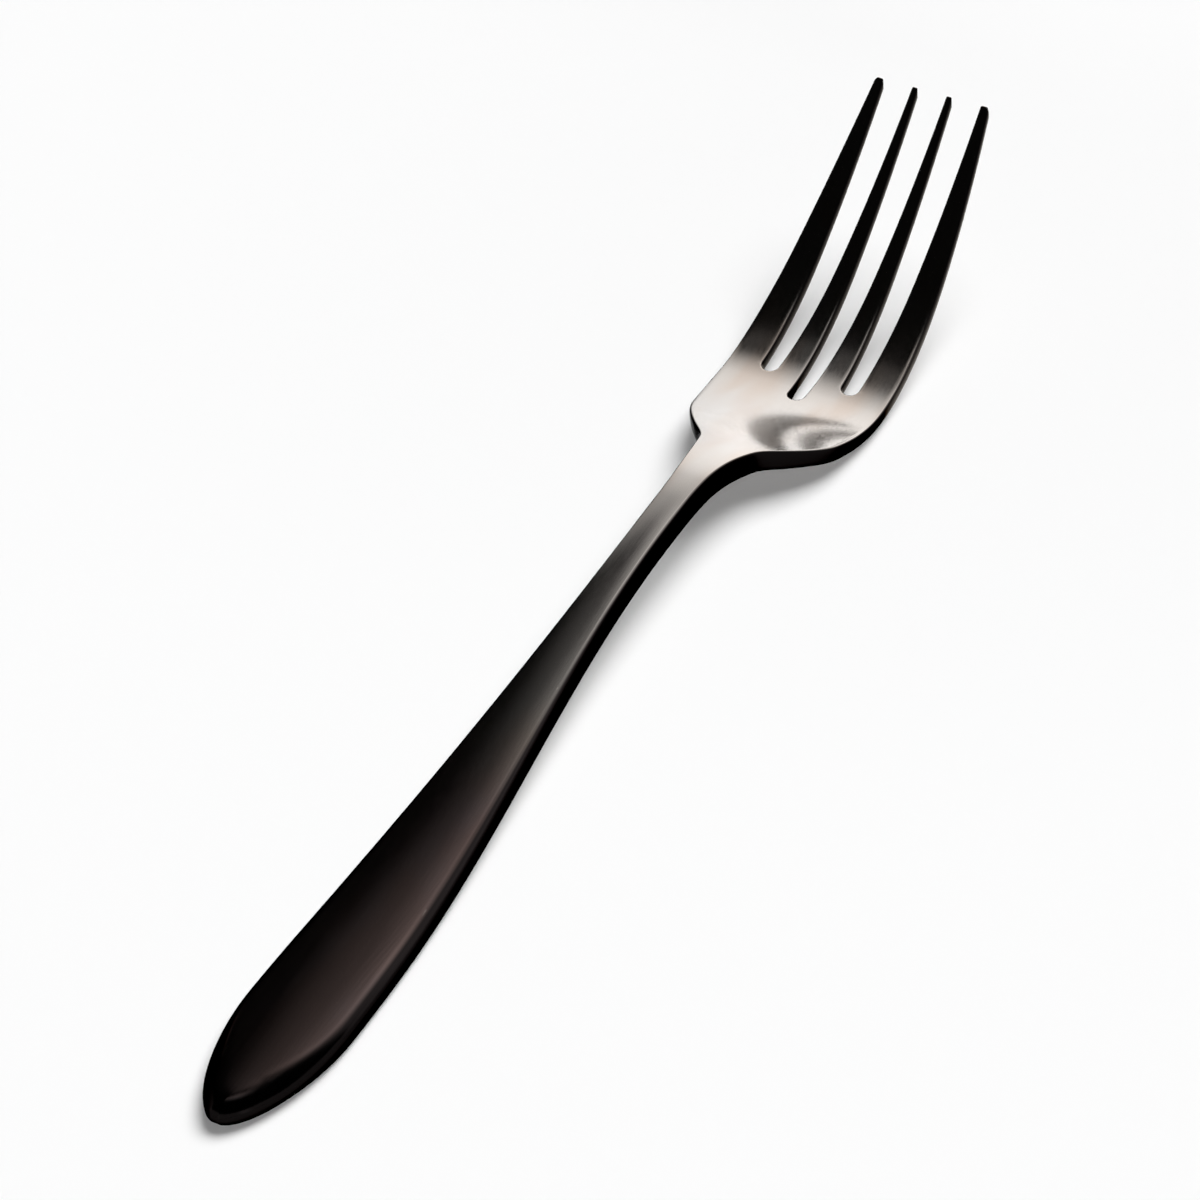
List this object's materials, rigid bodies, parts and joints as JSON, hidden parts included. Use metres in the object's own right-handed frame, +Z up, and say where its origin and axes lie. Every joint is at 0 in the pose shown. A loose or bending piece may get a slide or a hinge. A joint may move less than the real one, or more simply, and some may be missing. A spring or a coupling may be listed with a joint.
{
  "type": "salad fork",
  "caption": "One-piece table fork with a teardrop handle, slim arched neck, dished palm and upswept tapering tines, in satin dark steel.",
  "frame": {"origin": "on the table under the middle of the fork's length, on its centre plane", "axes": "+Y from the butt of the handle to the tips of the tines, +X to the right seen from the butt, +Z up out of the hollow face"},
  "size_m": [0.0248, 0.188, 0.0261],
  "materials": {
    "satin_dark_steel": "satin brushed stainless steel under a thin warm black coating, with grain along the length"
  },
  "bodies": {
    "root": {"handle": "satin_dark_steel", "neck": "satin_dark_steel", "palm": "satin_dark_steel", "tine_left_outer": "satin_dark_steel", "tine_left_inner": "satin_dark_steel", "tine_right_inner": "satin_dark_steel", "tine_right_outer": "satin_dark_steel"}
  },
  "joints": []
}
